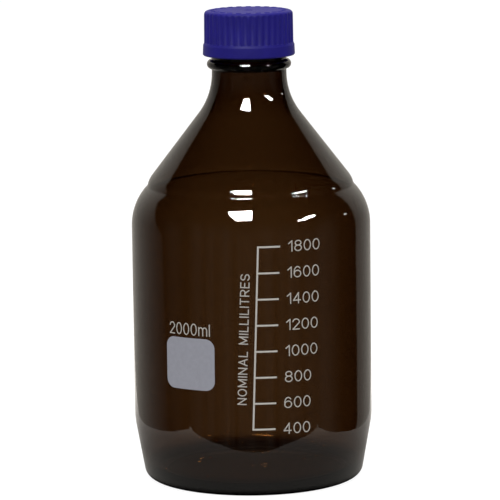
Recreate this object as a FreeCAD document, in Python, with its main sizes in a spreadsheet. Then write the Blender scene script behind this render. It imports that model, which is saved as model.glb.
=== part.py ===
"""Two-litre amber reagent bottle with a blue screw cap, in millimetres.

The origin is the middle of the standing ring, on the surface that the bottle stands on.
+Z is up along the bottle's axis, and the printed side faces -Y.
"""
import FreeCAD, Part
import math
import os
import Sketcher
from FreeCAD import Placement, Rotation, Vector

# Driving dimensions, in millimetres and degrees
SIZES = {
    # Glass body, from the standing ring to the step above the shoulder
    "body_diameter": 136.0,
    "wall": 2.6,
    "foot_width": 7.0,
    "push_up": 3.5,
    "base_thickness": 4.6,
    "floor_angle": 7.0,
    "heel_radius": 6.2,
    "inner_heel_radius": 9.0,
    "taper_height": 38.4,
    "taper_angle": 10.1,
    "blend_radius": 43.4,
    "cylinder_height": 107.5,
    "shoulder_radius": 31.8,
    "shoulder_angle": 44.96,
    "step_lean": 11.0,
    "step_radius": 13.8,
    "step_fillet": 1.8,
    # Cone, neck and the bead below the cap
    "cone_angle": 37.5,
    "neck_sweep": 38.0,
    "inner_neck_sweep": 38.0,
    "neck_diameter": 42.4,
    "neck_wall": 3.1,
    "neck_length": 2.2,
    "bead_radius": 2.7,
    # Threaded finish and the lip that holds the pouring ring
    "finish_height": 21.0,
    "lip_height": 5.0,
    "lip_step": 1.3,
    "lip_wall": 4.9,
    "snap_depth": 0.5,
    "snap_height": 1.4,
    "rim_round": 0.8,
    "thread_pitch": 4.0,
    "thread_radius": 1.25,
    "thread_runout": 0.35,
    # Clearances between the two threads
    "thread_clearance": 0.3,
    "core_clearance": 0.55,
    "bore_clearance": 0.6,
    # Screw cap
    "skirt_gap": 2.2,
    "thread_lead": 0.8,
    "cap_wall": 1.6,
    "cap_roof": 3.0,
    "cap_corner": 2.2,
    "cap_draft": 0.6,
    "flute_depth": 0.5,
    "flute_width": 2.7,
    "flute_count": 42,
    "band_height": 6.0,
    "band_slope": 1.2,
    "band_step": 0.55,
    "band_draft": 2.3,
    "skirt_chamfer": 0.6,
    # Raised bars on top of the cap
    "mark_count": 24,
    "mark_length": 3.0,
    "mark_width": 1.9,
    "mark_height": 0.5,
    "mark_inset": 1.4,
    # Liner and the bead that keeps it in the cap
    "liner_thickness": 2.0,
    "facing_thickness": 0.2,
    "liner_clearance": 0.2,
    "keeper_grip": 0.4,
    "keeper_height": 0.9,
    "keeper_clearance": 0.1,
    # Pouring ring
    "ring_flange": 1.3,
    "ring_wall": 1.0,
    "ring_fit": 0.1,
    "sleeve_depth": 8.0,
    # Enamel print: distances around the wall start at the front and grow to the right
    "enamel_thickness": 0.1,
    "scale_start": -0.12,
    "scale_stroke": 1.0,
    "scale_lean": 2.1,
    "scale_low_margin": 1.6,
    "scale_high_margin": 3.2,
    "tick_length": 12.4,
    "numeral_gap": 4.6,
    "numeral_height": 6.3,
    "numeral_stroke": 0.62,
    "numeral_spacing": 1.1,
    "legend_gap": 3.6,
    "legend_drop": 1.2,
    "legend_height": 5.2,
    "legend_stroke": 0.62,
    "legend_spacing": 0.97,
    "field_turn": -31.43,
    "field_drop": 16.25,
    "field_width": 31.2,
    "field_height": 29.2,
    "field_corner": 5.4,
    "capacity_gap": 1.6,
    "capacity_height": 6.8,
    "capacity_stroke": 0.6,
    "capacity_spacing": 1.0,
}

# Radii and heights worked out from the sizes, each from the ones above it
PLACES = {
    # Outside of the glass, from the standing ring up
    "body_r": "sizes.body_diameter / 2",
    "taper_top_r": "body_r - sizes.blend_radius * (1 - cos(sizes.taper_angle))",
    "taper_top_z": "sizes.taper_height - sizes.blend_radius * sin(sizes.taper_angle)",
    "heel_top_z": "sizes.heel_radius * (1 - sin(sizes.taper_angle))",
    "heel_top_r": "taper_top_r - (taper_top_z - heel_top_z) * tan(sizes.taper_angle)",
    "foot_r": "heel_top_r - sizes.heel_radius * cos(sizes.taper_angle)",
    "foot_inner_r": "foot_r - sizes.foot_width",
    "push_up_radius": "(foot_inner_r^2 + sizes.push_up^2) / (2 * sizes.push_up)",
    "push_up_z": "sizes.push_up",
    "wall_foot_z": "sizes.taper_height",
    "wall_top_z": "wall_foot_z + sizes.cylinder_height",
    "step_r": "body_r - sizes.shoulder_radius * (1 - cos(sizes.shoulder_angle))",
    "step_z": "wall_top_z + sizes.shoulder_radius * sin(sizes.shoulder_angle)",
    "cone_foot_r": "step_r - sizes.step_radius * (cos(sizes.step_lean) - cos(sizes.cone_angle))",
    "cone_foot_z": "step_z + sizes.step_radius * (sin(sizes.cone_angle) - sin(sizes.step_lean))",
    "neck_r": "sizes.neck_diameter / 2",
    "cone_top_r": "neck_r + sizes.neck_sweep * (1 - cos(sizes.cone_angle))",
    "cone_top_z": "cone_foot_z + (cone_foot_r - cone_top_r) / tan(sizes.cone_angle)",
    "neck_foot_z": "cone_top_z + sizes.neck_sweep * sin(sizes.cone_angle)",
    "bead_foot_z": "neck_foot_z + sizes.neck_length",
    "bead_r": "neck_r + sizes.bead_radius",
    "bead_mid_z": "bead_foot_z + sizes.bead_radius",
    "bead_top_z": "bead_mid_z + sizes.bead_radius",
    # Lip and rim
    "rim_z": "bead_top_z + sizes.finish_height",
    "ledge_z": "rim_z - sizes.lip_height",
    "lip_r": "neck_r - sizes.lip_step",
    "snap_r": "lip_r - sizes.snap_depth",
    "snap_top_z": "ledge_z + sizes.snap_height",
    "lip_foot_z": "snap_top_z + sizes.snap_depth",
    "rim_side_z": "rim_z - sizes.rim_round",
    "rim_outer_r": "lip_r - sizes.rim_round",
    "mouth_r": "lip_r - sizes.lip_wall",
    "rim_inner_r": "mouth_r + sizes.rim_round",
    # Inside of the glass, from the neck down
    "inner_r": "body_r - sizes.wall",
    "inner_cone_foot_r": "cone_foot_r - sizes.wall * cos(sizes.cone_angle)",
    "inner_cone_foot_z": "cone_foot_z - sizes.wall * sin(sizes.cone_angle)",
    "inner_neck_r": "neck_r - sizes.neck_wall",
    "inner_cone_top_r": "inner_neck_r + sizes.inner_neck_sweep * (1 - cos(sizes.cone_angle))",
    "inner_cone_top_z": "inner_cone_foot_z"
                        " + (inner_cone_foot_r - inner_cone_top_r) / tan(sizes.cone_angle)",
    "inner_neck_z": "inner_cone_top_z + sizes.inner_neck_sweep * sin(sizes.cone_angle)",
    # Inside of the step: the shoulder's arc and the step's arc, each an even wall inside, meet here
    "inner_shoulder_radius": "sizes.shoulder_radius - sizes.wall",
    "inner_step_radius": "sizes.step_radius - sizes.wall",
    "shoulder_axis_r": "body_r - sizes.shoulder_radius",
    "step_axis_r": "cone_foot_r - sizes.step_radius * cos(sizes.cone_angle)",
    "step_axis_z": "cone_foot_z - sizes.step_radius * sin(sizes.cone_angle)",
    "axis_gap_r": "step_axis_r - shoulder_axis_r",
    "axis_gap_z": "step_axis_z - wall_top_z",
    "axis_gap": "sqrt(axis_gap_r^2 + axis_gap_z^2)",
    "step_along": "(inner_shoulder_radius^2 - inner_step_radius^2 + axis_gap^2) / (2 * axis_gap)",
    "step_aside": "sqrt(inner_shoulder_radius^2 - step_along^2)",
    "inner_step_r": "shoulder_axis_r + (step_along * axis_gap_r + step_aside * axis_gap_z) / axis_gap",
    "inner_step_z": "wall_top_z + (step_along * axis_gap_z - step_aside * axis_gap_r) / axis_gap",
    # Inside of the wall, the heel and the floor
    "inner_blend_radius": "sizes.blend_radius - sizes.wall",
    "inner_taper_top_r": "taper_top_r - sizes.wall * cos(sizes.taper_angle)",
    "inner_taper_top_z": "taper_top_z + sizes.wall * sin(sizes.taper_angle)",
    "heel_mid_z": "sizes.base_thickness + sizes.inner_heel_radius",
    "heel_mid_r": "inner_taper_top_r - (inner_taper_top_z - heel_mid_z) * tan(sizes.taper_angle)"
                  " - sizes.inner_heel_radius / cos(sizes.taper_angle)",
    "inner_heel_top_r": "heel_mid_r + sizes.inner_heel_radius * cos(sizes.taper_angle)",
    "inner_heel_top_z": "heel_mid_z - sizes.inner_heel_radius * sin(sizes.taper_angle)",
    "floor_edge_r": "heel_mid_r - sizes.inner_heel_radius * sin(sizes.floor_angle)",
    "floor_edge_z": "heel_mid_z - sizes.inner_heel_radius * cos(sizes.floor_angle)",
    "floor_radius": "floor_edge_r / sin(sizes.floor_angle)",
    "floor_top_z": "floor_edge_z + floor_radius * (1 - cos(sizes.floor_angle))",
    # Stack on the rim: pouring ring, facing, liner, roof of the cap
    "facing_z": "rim_z + sizes.ring_flange",
    "liner_z": "facing_z + sizes.facing_thickness",
    "roof_z": "liner_z + sizes.liner_thickness",
    "cap_top_z": "roof_z + sizes.cap_roof",
    # Pouring ring
    "sleeve_r": "mouth_r - sizes.ring_fit",
    "pour_r": "sleeve_r - sizes.ring_wall",
    "sleeve_foot_z": "rim_z - sizes.sleeve_depth",
    "ring_inner_r": "lip_r + sizes.ring_fit",
    "ring_outer_r": "ring_inner_r + sizes.ring_wall",
    "ring_foot_z": "ledge_z + sizes.ring_fit",
    "catch_r": "snap_r + sizes.ring_fit",
    "catch_top_z": "snap_top_z - sizes.ring_fit",
    "catch_slope_z": "catch_top_z + sizes.snap_depth",
    # Outside of the cap, from the skirt up
    "skirt_z": "bead_top_z + sizes.skirt_gap",
    "band_top_z": "skirt_z + sizes.band_height",
    "rib_foot_z": "band_top_z + sizes.band_slope",
    "corner_z": "cap_top_z - sizes.cap_corner",
    "cap_bore_r": "neck_r + sizes.thread_radius + sizes.bore_clearance",
    "rib_top_r": "cap_bore_r + sizes.cap_wall + sizes.flute_depth",
    "rib_foot_r": "rib_top_r + (corner_z - rib_foot_z) * tan(sizes.cap_draft)",
    "band_top_r": "rib_foot_r + sizes.band_step",
    "band_foot_r": "band_top_r + sizes.band_height * tan(sizes.band_draft)",
    "skirt_r": "band_foot_r - sizes.skirt_chamfer",
    "skirt_round_z": "skirt_z + sizes.skirt_chamfer",
    "top_flat_r": "rib_top_r - sizes.cap_corner",
    "cap_lead_r": "cap_bore_r + sizes.skirt_chamfer",
    "flute_radius": "(sizes.flute_width^2 / 4 + sizes.flute_depth^2) / (2 * sizes.flute_depth)",
    "flute_r": "rib_top_r - sizes.flute_depth + flute_radius",
    "flute_height": "cap_top_z - rib_foot_z",
    "mark_r": "top_flat_r - sizes.mark_inset - sizes.mark_width / 2",
    # Inside of the cap
    "liner_r": "cap_bore_r - sizes.liner_clearance",
    "keeper_r": "liner_r - sizes.keeper_grip",
    "keeper_top_z": "facing_z - sizes.keeper_clearance",
    "keeper_foot_z": "keeper_top_z - sizes.keeper_height",
    # Threads: the cap's ridge runs half a pitch below the neck's and fills what the clearances leave
    "ridge_reach": "sizes.thread_radius + sizes.thread_clearance",
    "cap_ridge_radius": "min(sizes.thread_radius; (sizes.core_clearance^2 + sizes.thread_pitch^2 / 4"
                        " - ridge_reach^2) / (2 * (ridge_reach - sizes.core_clearance)))",
    "cap_ridge_r": "neck_r + sizes.core_clearance + cap_ridge_radius",
    "cap_ridge_z": "skirt_z + sizes.thread_lead + cap_ridge_radius",
    "thread_z": "cap_ridge_z + sizes.thread_pitch / 2",
    "thread_height": "ledge_z - sizes.thread_runout - sizes.thread_radius - thread_z",
    "cap_ridge_height": "thread_height - sizes.thread_pitch / 2",
    # Enamel print on the straight wall
    "wall_mid_z": "(wall_foot_z + wall_top_z) / 2",
    "enamel_r": "body_r + sizes.enamel_thickness",
    "enamel_blend_radius": "sizes.blend_radius + sizes.enamel_thickness",
    "enamel_foot_r": "taper_top_r + sizes.enamel_thickness * cos(sizes.taper_angle)",
    "enamel_foot_z": "taper_top_z - sizes.enamel_thickness * sin(sizes.taper_angle)",
    "enamel_shoulder_radius": "sizes.shoulder_radius + sizes.enamel_thickness",
    "shoulder_mid_r": "body_r - sizes.shoulder_radius * (1 - cos(sizes.shoulder_angle / 2))",
    "shoulder_mid_z": "wall_top_z + sizes.shoulder_radius * sin(sizes.shoulder_angle / 2)",
    "enamel_top_r": "shoulder_mid_r + sizes.enamel_thickness * cos(sizes.shoulder_angle / 2)",
    "enamel_top_z": "shoulder_mid_z + sizes.enamel_thickness * sin(sizes.shoulder_angle / 2)",
    "scale_foot_z": "wall_foot_z + sizes.scale_low_margin",
    "scale_height": "sizes.cylinder_height - sizes.scale_low_margin - sizes.scale_high_margin",
    "field_middle": "sizes.field_turn / 180 * pi * body_r",
    "field_foot_z": "wall_mid_z - sizes.field_drop - sizes.field_height / 2",
    "field_top_z": "field_foot_z + sizes.field_height",
}

GROUND = "0"
AXIS = "0"
ANGLE_TOLERANCE = 1e-6
PLACE_TOLERANCE = 1e-6

# Printed words and numbers
SCALE_VOLUMES = ("400", "600", "800", "1000", "1200", "1400", "1600", "1800")
CAPACITY_TEXT = "2000ml"
CAPACITY_CONDENSE = 0.79
LEGEND_TEXT = "NOMINAL MILLILITRES"
LEGEND_CONDENSE = 0.95
WORD_SPACE = 3.0

# Each glyph: its width as a share of its height, then its strokes on a cell one wide and one high.
# A bar runs from one point to another; a ring has a middle and two half axes, and may keep only
# the part of it inside a polygon.
FULL_RING = ("ring", (0.5, 0.5), (0.5, 0.5), None)
STEM = ("bar", (0, 0), (0, 1))
FAR_STEM = ("bar", (1, 0), (1, 1))
BASE_LINE = ("bar", (0, 0), (1, 0))
HEAD_LINE = ("bar", (0, 1), (1, 1))
GLYPHS = {
    "0": (0.72, [FULL_RING]),
    "1": (0.40, [FAR_STEM, ("bar", (1, 1), (0, 0.74))]),
    "2": (0.70, [
        ("ring", (0.5, 0.70), (0.5, 0.30), ((-1, 0.70), (0.5, 0.70), (2, 0.50), (2, 2), (-1, 2))),
        ("bar", (0.95, 0.60), (0, 0)),
        BASE_LINE,
    ]),
    "4": (0.74, [
        ("bar", (0.72, 0), (0.72, 1)),
        ("bar", (0.72, 1), (0, 0.28)),
        ("bar", (0, 0.28), (1, 0.28)),
    ]),
    "6": (0.72, [
        ("ring", (0.5, 0.32), (0.5, 0.32), None),
        ("ring", (0.5, 0.5), (0.5, 0.5),
         ((-1, 0.32), (0.5, 0.32), (0.5, 0.80), (2, 0.80), (2, 2), (-1, 2))),
    ]),
    "8": (0.72, [("ring", (0.5, 0.27), (0.5, 0.27), None), ("ring", (0.5, 0.77), (0.44, 0.23), None)]),
    "m": (1.00, [
        ("bar", (0, 0), (0, 0.72)),
        ("bar", (0.5, 0), (0.5, 0.48)),
        ("bar", (1, 0), (1, 0.48)),
        ("ring", (0.25, 0.48), (0.25, 0.24), ((-1, 0.48), (2, 0.48), (2, 2), (-1, 2))),
        ("ring", (0.75, 0.48), (0.25, 0.24), ((-1, 0.48), (2, 0.48), (2, 2), (-1, 2))),
    ]),
    "l": (0.0, [STEM]),
    "A": (0.84, [("bar", (0, 0), (0.5, 1)), ("bar", (0.5, 1), (1, 0)), ("bar", (0.2, 0.32), (0.8, 0.32))]),
    "E": (0.66, [STEM, HEAD_LINE, ("bar", (0, 0.52), (0.9, 0.52)), BASE_LINE]),
    "I": (0.0, [STEM]),
    "L": (0.62, [STEM, BASE_LINE]),
    "M": (0.92, [STEM, ("bar", (0, 1), (0.5, 0.12)), ("bar", (0.5, 0.12), (1, 1)), FAR_STEM]),
    "N": (0.78, [STEM, ("bar", (0, 1), (1, 0)), FAR_STEM]),
    "O": (0.86, [FULL_RING]),
    "R": (0.76, [
        STEM,
        ("bar", (0, 1), (0.6, 1)),
        ("bar", (0, 0.46), (0.6, 0.46)),
        ("ring", (0.6, 0.73), (0.4, 0.27), ((0.6, -1), (2, -1), (2, 2), (0.6, 2))),
        ("bar", (0.5, 0.46), (1, 0)),
    ]),
    "S": (0.74, [
        ("ring", (0.5, 0.75), (0.48, 0.25),
         ((-1, 2), (2, 2), (2, 0.84), (0.5, 0.75), (0.5, 0.3), (-1, 0.3))),
        ("ring", (0.5, 0.25), (0.5, 0.25),
         ((2, -1), (-1, -1), (-1, 0.16), (0.5, 0.25), (0.5, 0.7), (2, 0.7))),
    ]),
    "T": (0.74, [("bar", (0.5, 0), (0.5, 1)), HEAD_LINE]),
}


def fill_sheet(document, name, cells):
    """Make a spreadsheet with one named value per row."""
    sheet = document.addObject("Spreadsheet::Sheet", name)
    for row, (alias, content) in enumerate(cells.items(), start=1):
        sheet.set(f"A{row}", alias)
        sheet.set(f"B{row}", content)
        sheet.setAlias(f"B{row}", alias)
    document.recompute()
    return sheet


doc = FreeCAD.newDocument("reagent_bottle")
sizes = fill_sheet(doc, "sizes", {name: str(value) for name, value in SIZES.items()})
places = fill_sheet(doc, "places", {name: "=" + formula for name, formula in PLACES.items()})


def place(name):
    """Value of a worked-out place; the axis and the ground are zero."""
    return 0.0 if name in (AXIS, GROUND) else places.get(name)


def bind(target, **expressions):
    """Bind properties of an object to the sheets; double underscores stand for dots."""
    for prop, expression in expressions.items():
        target.setExpression(prop.replace("__", "."), expression)


def origin_plane(body, role):
    return next(feature for feature in body.Origin.OriginFeatures if feature.Role == role)


def new_body(label):
    body = doc.addObject("PartDesign::Body", label)
    body.Label = label
    return body


def new_sketch(body, name, role, height=None):
    """A sketch on one of the body's own planes, raised to a named height if one is given."""
    sketch = body.newObject("Sketcher::SketchObject", name)
    sketch.AttachmentSupport = (origin_plane(body, role), "")
    sketch.MapMode = "FlatFace"
    if height:
        bind(sketch, AttachmentOffset__Base__z=f"places.{height}")
    return sketch


def constrain(sketch, expression, *constraint):
    """Add a driving dimension that follows an expression."""
    index = sketch.addConstraint(Sketcher.Constraint(*constraint))
    sketch.setExpression(f"Constraints[{index}]", expression)


def line_to(r, z):
    return {"end": (r, z)}


def arc_to(r, z, radius, counter_clockwise=True):
    """An arc of less than half a circle, counter-clockwise or not on the way to its end."""
    return {"end": (r, z), "radius": radius, "counter_clockwise": counter_clockwise}


def arc_between(start, end, radius, counter_clockwise):
    """The arc through two points, which the sketcher keeps counter-clockwise."""
    chord = end - start
    rise = math.sqrt(max(radius**2 - (chord.Length / 2) ** 2, 0.0))
    to_middle = Vector(-chord.y, chord.x, 0).normalize() * (rise if counter_clockwise else -rise)
    middle = (start + end) / 2 + to_middle
    first, last = (start, end) if counter_clockwise else (end, start)
    angles = [math.atan2(point.y - middle.y, point.x - middle.x) for point in (first, last)]
    return Part.ArcOfCircle(Part.Circle(middle, Vector(0, 0, 1), radius), *angles)


def draw_outline(body, name, steps):
    """A closed half section beside the Z axis, drawn through named places by lines and arcs."""
    sketch = new_sketch(body, name, "XZ_Plane")
    corners = [Vector(place(step["end"][0]), place(step["end"][1]), 0) for step in steps]
    start_ends = []
    for index, step in enumerate(steps):
        start, end = corners[index - 1], corners[index]
        if "radius" in step:
            radius = sketch.evalExpression(step["radius"])
            edge = sketch.addGeometry(arc_between(start, end, radius, step["counter_clockwise"]))
            start_ends.append((edge, 1, 2) if step["counter_clockwise"] else (edge, 2, 1))
        else:
            edge = sketch.addGeometry(Part.LineSegment(start, end))
            start_ends.append((edge, 1, 2))
    for index, step in enumerate(steps):
        edge, _, end_point = start_ends[index]
        next_edge, next_start, _ = start_ends[(index + 1) % len(steps)]
        sketch.addConstraint(Sketcher.Constraint("Coincident", edge, end_point, next_edge, next_start))
        r, z = step["end"]
        if r == AXIS:
            sketch.addConstraint(Sketcher.Constraint("PointOnObject", edge, end_point, -2))
        else:
            constrain(sketch, f"places.{r}", "DistanceX", -1, 1, edge, end_point, place(r))
        if z == GROUND:
            sketch.addConstraint(Sketcher.Constraint("PointOnObject", edge, end_point, -1))
        else:
            constrain(sketch, f"places.{z}", "DistanceY", -1, 1, edge, end_point, place(z))
        if "radius" in step:
            constrain(sketch, step["radius"], "Radius", edge, sketch.evalExpression(step["radius"]))
    return sketch


def turn(body, name, steps):
    """A turned solid from a half section."""
    outline = draw_outline(body, f"{name}_outline", steps)
    solid = body.newObject("PartDesign::Revolution", name)
    solid.Profile = outline
    solid.ReferenceAxis = (outline, ["V_Axis"])
    solid.Angle = 360
    solid.Refine = False
    doc.recompute()
    return solid


def draw_circle(sketch, r, z, radius):
    """A circle in a sketch, with its middle and radius bound to expressions."""
    middle = Vector(sketch.evalExpression(r), sketch.evalExpression(z), 0)
    size = sketch.evalExpression(radius)
    edge = sketch.addGeometry(Part.Circle(middle, Vector(0, 0, 1), size))
    constrain(sketch, r, "DistanceX", -1, 1, edge, 3, middle.x)
    if middle.y:
        constrain(sketch, z, "DistanceY", -1, 1, edge, 3, middle.y)
    else:
        sketch.addConstraint(Sketcher.Constraint("PointOnObject", edge, 3, -1))
    constrain(sketch, radius, "Radius", edge, size)


def add_thread(body, name, r, z, radius, height):
    """A round right-hand ridge, swept up a helix about the axis."""
    section = new_sketch(body, f"{name}_section", "XZ_Plane")
    draw_circle(section, r, z, radius)
    ridge = body.newObject("PartDesign::AdditiveHelix", name)
    ridge.Profile = section
    ridge.ReferenceAxis = (section, ["V_Axis"])
    ridge.Refine = False
    ridge.Mode = "pitch-height-angle"
    bind(ridge, Pitch="sizes.thread_pitch", Height=height)
    doc.recompute()


def repeat_round(body, feature, sketch, count):
    """Repeat a feature evenly around the axis."""
    pattern = body.newObject("PartDesign::PolarPattern", f"{feature.Name}_ring")
    pattern.Originals = [feature]
    pattern.Axis = (sketch, ["N_Axis"])
    pattern.Angle = 360
    pattern.Refine = False
    bind(pattern, Occurrences=count)
    body.Tip = pattern
    doc.recompute()


def round_corner(body, name, base, r, z, radius):
    """Round the corner of a turned solid at a named place."""
    def at_corner(edge):
        if edge.Degenerated or edge.Curve.TypeId != "Part::GeomCircle":
            return False
        offset = math.hypot(edge.Curve.Radius - place(r), edge.Curve.Center.z - place(z))
        return offset < PLACE_TOLERANCE

    corner = next(index for index, edge in enumerate(base.Shape.Edges, start=1) if at_corner(edge))
    fillet = body.newObject("PartDesign::Fillet", name)
    fillet.Base = (base, [f"Edge{corner}"])
    fillet.Refine = False
    bind(fillet, Radius=radius)
    doc.recompute()
    return fillet


def make_glass_bottle():
    """One piece of glass: base, wall, shoulder, cone, neck with its bead, thread and lip."""
    body = new_body("glass_bottle")
    blank = turn(body, "glass_blank", [
        line_to("foot_r", GROUND),
        arc_to("heel_top_r", "heel_top_z", "sizes.heel_radius"),
        line_to("taper_top_r", "taper_top_z"),
        arc_to("body_r", "wall_foot_z", "sizes.blend_radius"),
        line_to("body_r", "wall_top_z"),
        arc_to("step_r", "step_z", "sizes.shoulder_radius"),
        arc_to("cone_foot_r", "cone_foot_z", "sizes.step_radius"),
        line_to("cone_top_r", "cone_top_z"),
        arc_to("neck_r", "neck_foot_z", "sizes.neck_sweep", counter_clockwise=False),
        line_to("neck_r", "bead_foot_z"),
        arc_to("bead_r", "bead_mid_z", "sizes.bead_radius"),
        arc_to("neck_r", "bead_top_z", "sizes.bead_radius"),
        line_to("neck_r", "ledge_z"),
        line_to("snap_r", "ledge_z"),
        line_to("snap_r", "snap_top_z"),
        line_to("lip_r", "lip_foot_z"),
        line_to("lip_r", "rim_side_z"),
        arc_to("rim_outer_r", "rim_z", "sizes.rim_round"),
        line_to("rim_inner_r", "rim_z"),
        arc_to("mouth_r", "rim_side_z", "sizes.rim_round"),
        line_to("mouth_r", "bead_top_z"),
        line_to("inner_neck_r", "bead_mid_z"),
        line_to("inner_neck_r", "inner_neck_z"),
        arc_to("inner_cone_top_r", "inner_cone_top_z", "sizes.inner_neck_sweep"),
        line_to("inner_cone_foot_r", "inner_cone_foot_z"),
        arc_to("inner_step_r", "inner_step_z", "places.inner_step_radius", counter_clockwise=False),
        arc_to("inner_r", "wall_top_z", "places.inner_shoulder_radius", counter_clockwise=False),
        line_to("inner_r", "wall_foot_z"),
        arc_to("inner_taper_top_r", "inner_taper_top_z", "places.inner_blend_radius",
               counter_clockwise=False),
        line_to("inner_heel_top_r", "inner_heel_top_z"),
        arc_to("floor_edge_r", "floor_edge_z", "sizes.inner_heel_radius", counter_clockwise=False),
        arc_to(AXIS, "floor_top_z", "places.floor_radius"),
        line_to(AXIS, "push_up_z"),
        arc_to("foot_inner_r", GROUND, "places.push_up_radius", counter_clockwise=False),
    ])
    rounded = round_corner(body, "step_corner", blank, "step_r", "step_z", "sizes.step_fillet")
    round_corner(body, "inner_step_corner", rounded, "inner_step_r", "inner_step_z", "sizes.step_fillet")
    add_thread(body, "neck_thread", "places.neck_r", "places.thread_z", "sizes.thread_radius",
               "places.thread_height")
    return body


def make_pouring_ring():
    """A ring clipped over the lip: a sleeve in the mouth, a flange on the rim and a skirt with a catch."""
    body = new_body("pouring_ring")
    turn(body, "ring", [
        line_to("sleeve_r", "sleeve_foot_z"),
        line_to("sleeve_r", "rim_z"),
        line_to("ring_inner_r", "rim_z"),
        line_to("ring_inner_r", "catch_slope_z"),
        line_to("catch_r", "catch_top_z"),
        line_to("catch_r", "ring_foot_z"),
        line_to("ring_outer_r", "ring_foot_z"),
        line_to("ring_outer_r", "facing_z"),
        line_to("pour_r", "facing_z"),
        line_to("pour_r", "sleeve_foot_z"),
    ])
    return body


def make_disc(label, foot_z, thickness):
    """A plain disc of the liner's radius."""
    disc = doc.addObject("Part::Cylinder", label)
    disc.Label = label
    bind(disc, Radius="places.liner_r", Height=f"sizes.{thickness}", Placement__Base__z=f"places.{foot_z}")
    return disc


def cut_flutes(body):
    """Shallow round flutes, which leave the grip ribs between them."""
    sketch = new_sketch(body, "flute_outline", "XY_Plane", "rib_foot_z")
    draw_circle(sketch, "places.flute_r", "0", "places.flute_radius")
    flute = body.newObject("PartDesign::Pocket", "flute")
    flute.Profile = sketch
    flute.Reversed = True
    flute.Refine = False
    bind(flute, Length="places.flute_height")
    doc.recompute()
    repeat_round(body, flute, sketch, "sizes.flute_count")


def raise_marks(body):
    """Plain raised bars in a ring on the roof."""
    sketch = new_sketch(body, "mark_outline", "XY_Plane", "cap_top_z")
    middle, half_width, half_length = places.mark_r, sizes.mark_width / 2, sizes.mark_length / 2
    corners = [Vector(middle + side * half_width, end * half_length, 0)
               for side, end in ((-1, -1), (1, -1), (1, 1), (-1, 1))]
    for index in range(4):
        sketch.addGeometry(Part.LineSegment(corners[index], corners[(index + 1) % 4]))
    for index in range(4):
        sketch.addConstraint(Sketcher.Constraint("Coincident", index, 2, (index + 1) % 4, 1))
    for index, direction in enumerate(("Horizontal", "Vertical", "Horizontal")):
        sketch.addConstraint(Sketcher.Constraint(direction, index))
    sketch.addConstraint(Sketcher.Constraint("Symmetric", 0, 1, 3, 1, -1))
    constrain(sketch, "places.mark_r - sizes.mark_width / 2", "DistanceX", -1, 1, 0, 1, middle - half_width)
    constrain(sketch, "sizes.mark_width", "DistanceX", 0, 1, 0, 2, 2 * half_width)
    constrain(sketch, "sizes.mark_length", "DistanceY", 1, 1, 1, 2, 2 * half_length)
    mark = body.newObject("PartDesign::Pad", "mark")
    mark.Profile = sketch
    mark.Refine = False
    bind(mark, Length="sizes.mark_height")
    doc.recompute()
    repeat_round(body, mark, sketch, "sizes.mark_count")


def make_screw_cap():
    """Moulded cap: ribbed wall, plain band round the skirt, keeper bead for the liner, thread."""
    body = new_body("screw_cap")
    turn(body, "cap_blank", [
        line_to("skirt_r", "skirt_z"),
        line_to("band_foot_r", "skirt_round_z"),
        line_to("band_top_r", "band_top_z"),
        line_to("rib_foot_r", "rib_foot_z"),
        line_to("rib_top_r", "corner_z"),
        arc_to("top_flat_r", "cap_top_z", "sizes.cap_corner"),
        line_to(AXIS, "cap_top_z"),
        line_to(AXIS, "roof_z"),
        line_to("cap_bore_r", "roof_z"),
        line_to("cap_bore_r", "keeper_top_z"),
        line_to("keeper_r", "keeper_top_z"),
        line_to("cap_bore_r", "keeper_foot_z"),
        line_to("cap_bore_r", "skirt_round_z"),
        line_to("cap_lead_r", "skirt_z"),
    ])
    cut_flutes(body)
    raise_marks(body)
    add_thread(body, "cap_thread", "places.cap_ridge_r", "places.cap_ridge_z", "places.cap_ridge_radius",
               "places.cap_ridge_height")
    return body


def make_enamel_shell():
    """The thin layer on the outside of the wall that every print is cut from."""
    shell = new_body("enamel_shell")
    turn(shell, "enamel_layer", [
        line_to("enamel_foot_r", "enamel_foot_z"),
        arc_to("enamel_r", "wall_foot_z", "places.enamel_blend_radius"),
        line_to("enamel_r", "wall_top_z"),
        arc_to("enamel_top_r", "enamel_top_z", "places.enamel_shoulder_radius"),
        line_to("shoulder_mid_r", "shoulder_mid_z"),
        arc_to("body_r", "wall_top_z", "sizes.shoulder_radius", counter_clockwise=False),
        line_to("body_r", "wall_foot_z"),
        arc_to("taper_top_r", "taper_top_z", "sizes.blend_radius", counter_clockwise=False),
    ])
    return shell


def cut_from_shell(label, shell, stamp):
    layer = doc.addObject("Part::Common", label)
    layer.Label = label
    layer.Base = shell
    layer.Tool = stamp
    return layer


def across(distance):
    """Sideways place of a point that lies this far round the wall from the front, as an expression."""
    return f"places.body_r * sin(({distance}) / places.body_r * 180 / pi)"


def tick_expressions(index):
    """Height and start of a tick, as expressions."""
    share = f"{index} / {len(SCALE_VOLUMES) - 1}"
    rise = f"places.scale_height * {share}"
    return f"(places.scale_foot_z + {rise})", f"(sizes.scale_start + {rise} * tan(sizes.scale_lean))"


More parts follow.
